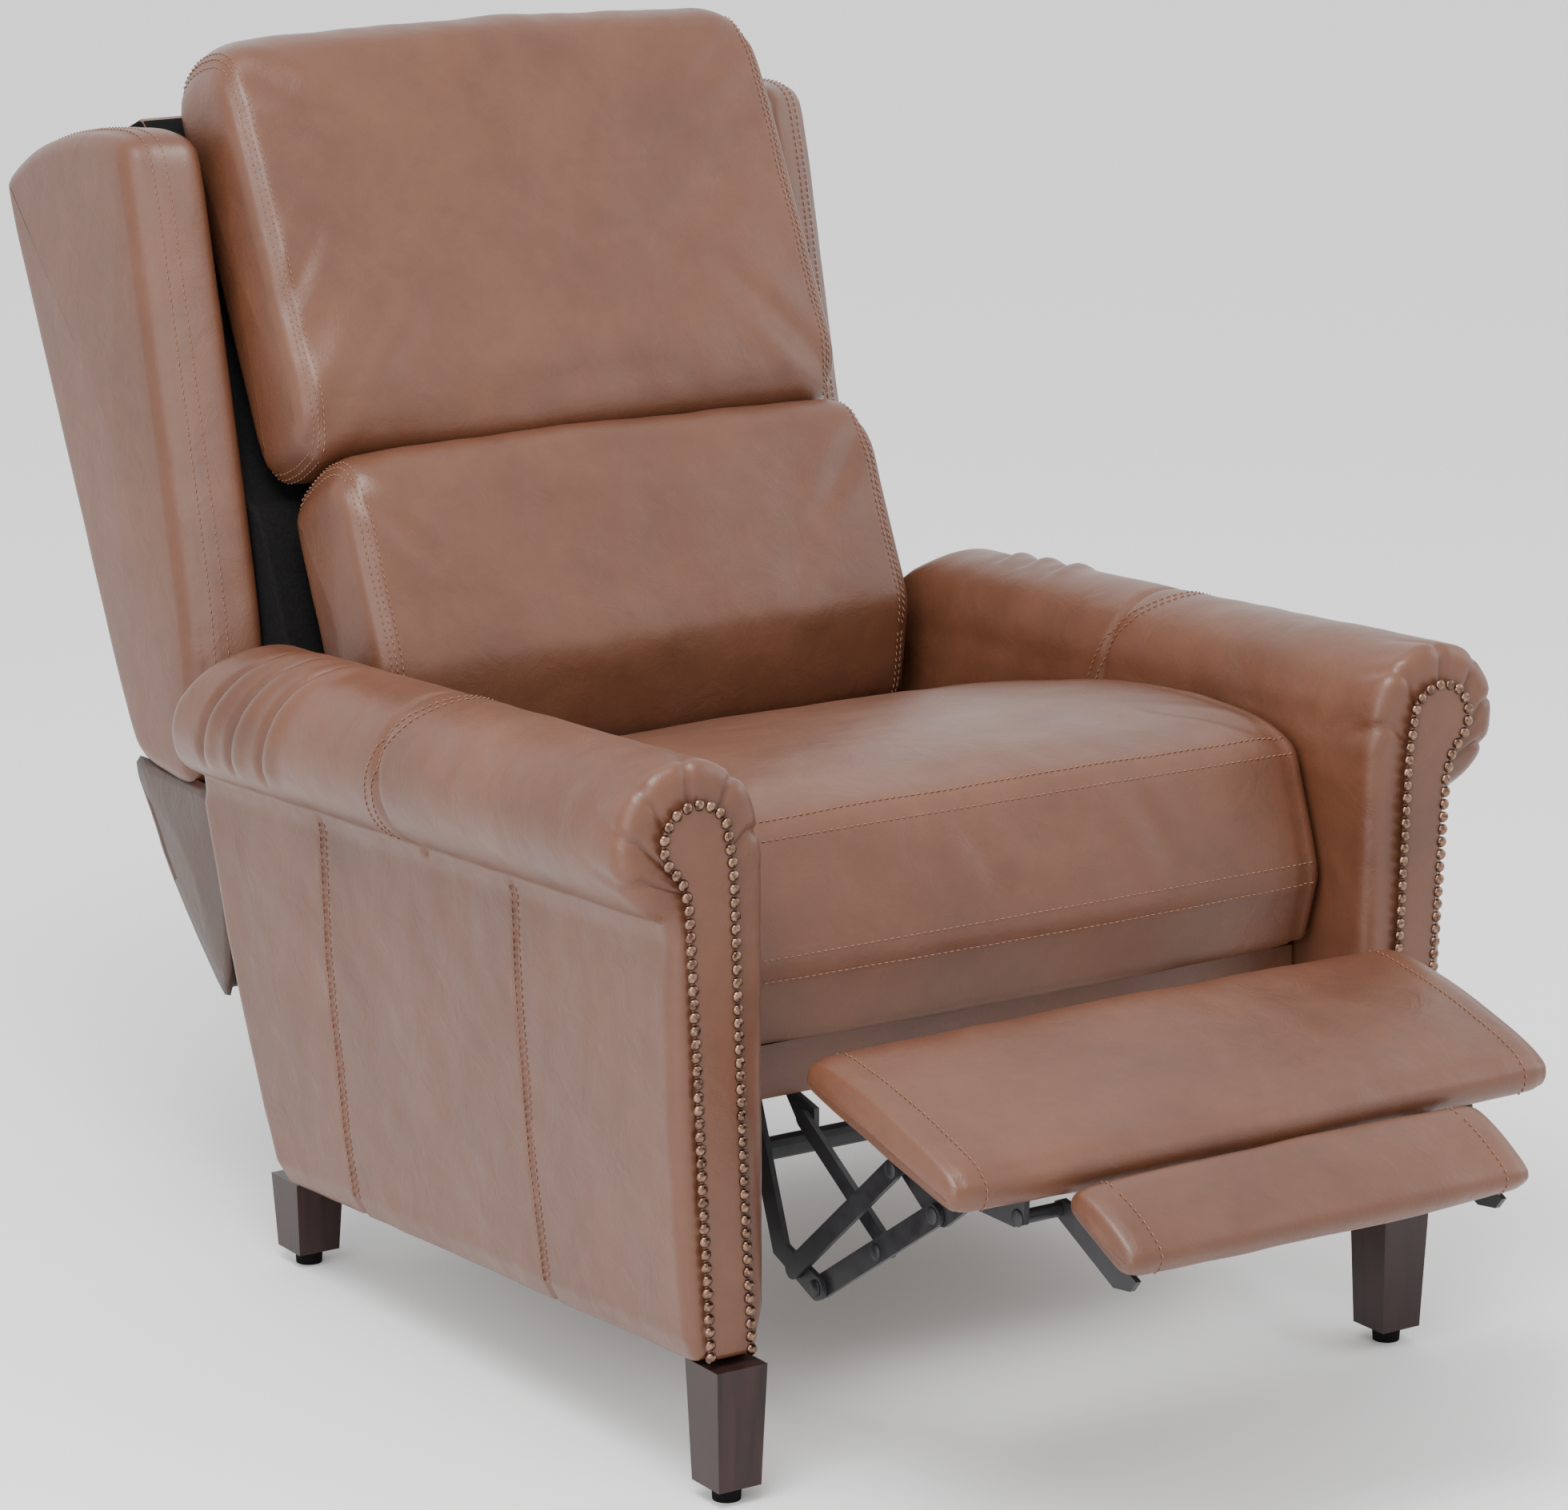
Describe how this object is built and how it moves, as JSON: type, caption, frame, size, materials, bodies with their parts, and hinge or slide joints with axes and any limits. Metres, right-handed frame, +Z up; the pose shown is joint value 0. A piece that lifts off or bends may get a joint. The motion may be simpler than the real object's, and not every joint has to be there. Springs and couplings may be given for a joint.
{
  "type": "recliner armchair",
  "caption": "Push-back recliner with rolled arms, winged pillow back, lift-up leg rest with flipper and nail-trimmed arm fronts.",
  "frame": {"origin": "on the floor, at the middle of the footprint with the rest open and the back leaned", "axes": "+Z up, the sitter faces -Y, +X is the sitter's left"},
  "size_m": [0.906, 1.598, 1.1],
  "materials": {
    "leather": "semi-gloss, lightly mottled",
    "wood": "satin espresso stain",
    "panel": "raw plywood",
    "steel": "satin black",
    "nailhead": "antique"
  },
  "bodies": {
    "base": {"arm_left": "leather", "arm_right": "leather", "arm_facing_left": "leather", "arm_facing_right": "leather", "nail_trim_left": "nailhead", "nail_trim_right": "nailhead", "leg_front_left": "wood", "leg_front_right": "wood", "leg_rear_left": "wood", "leg_rear_right": "wood", "glide_front_left": "nailhead", "glide_front_right": "nailhead", "glide_rear_left": "nailhead", "glide_rear_right": "nailhead", "front_rail": "leather", "rear_rail": "panel", "seat_deck": "panel", "seat_cushion": "leather", "side_plate_left": "steel", "side_plate_right": "steel", "pivot_boss_left": "steel", "pivot_boss_right": "steel", "rear_cross_tube": "steel", "control_tab_left": "steel", "control_tab_right": "steel", "hinge_plate_left": "steel", "hinge_plate_right": "steel"},
    "back": {"back_frame": "leather", "head_cushion": "leather", "lumbar_cushion": "leather", "back_skirt": "leather", "wing_left": "leather", "wing_right": "leather", "back_bracket_left": "steel", "back_bracket_right": "steel"},
    "rear_links": {"rear_link_left": "steel", "rear_link_right": "steel", "torque_tube": "steel"},
    "front_links": {"front_link_left": "steel", "front_link_right": "steel", "control_pin_left": "steel", "control_pin_right": "steel"},
    "leg_rest": {"rest_bracket_left": "steel", "rest_bracket_right": "steel", "footrest_board": "panel", "footrest_pad": "leather", "scissor_pin_left": "steel", "scissor_pin_right": "steel", "flipper_pin_left": "steel", "flipper_pin_right": "steel"},
    "flipper": {"flipper_bracket_left": "steel", "flipper_bracket_right": "steel", "flipper_pad": "leather"},
    "scissor_links": {"scissor_link_left": "steel", "scissor_link_right": "steel"},
    "control_links": {"control_link_left": "steel", "control_link_right": "steel"}
  },
  "joints": [
    {"name": "back_recline", "type": "hinge", "parent": "base", "child": "back", "pos_m": [0, 0.248, 0.36], "axis": [-1, 0, 0], "range_deg": [-10.5, 12]},
    {"name": "footrest_fold", "type": "hinge", "parent": "base", "child": "rear_links", "pos_m": [0, -0.302, 0.31], "axis": [1, 0, 0], "range_deg": [0, 107]},
    {"name": "front_link_pivot", "type": "hinge", "parent": "rear_links", "child": "front_links", "pos_m": [0, -0.408, 0.152], "axis": [1, 0, 0], "range_deg": [-67.9, 0.1]},
    {"name": "leg_rest_pivot", "type": "hinge", "parent": "front_links", "child": "leg_rest", "pos_m": [0, -0.57, 0.26], "axis": [1, 0, 0], "range_deg": [-0.1, 37]},
    {"name": "flipper_pivot", "type": "hinge", "parent": "leg_rest", "child": "flipper", "pos_m": [0, -0.68, 0.288], "axis": [1, 0, 0], "range_deg": [-0.1, 152.1]},
    {"name": "scissor_pivot", "type": "hinge", "parent": "leg_rest", "child": "scissor_links", "pos_m": [0, -0.5266, 0.2892], "axis": [1, 0, 0], "range_deg": [-37.1, 0.1]},
    {"name": "control_pivot", "type": "hinge", "parent": "base", "child": "control_links", "pos_m": [0, -0.362, 0.285], "axis": [1, 0, 0], "range_deg": [-0.1, 133]}
  ],
  "couplings": [
    {"joint": "front_link_pivot", "follows": "footrest_fold", "ratio": -0.63365},
    {"joint": "leg_rest_pivot", "follows": "footrest_fold", "ratio": 0.34486},
    {"joint": "flipper_pivot", "follows": "footrest_fold", "ratio": 1.4206},
    {"joint": "scissor_pivot", "follows": "footrest_fold", "ratio": -0.34579},
    {"joint": "control_pivot", "follows": "footrest_fold", "ratio": 1.2421}
  ]
}
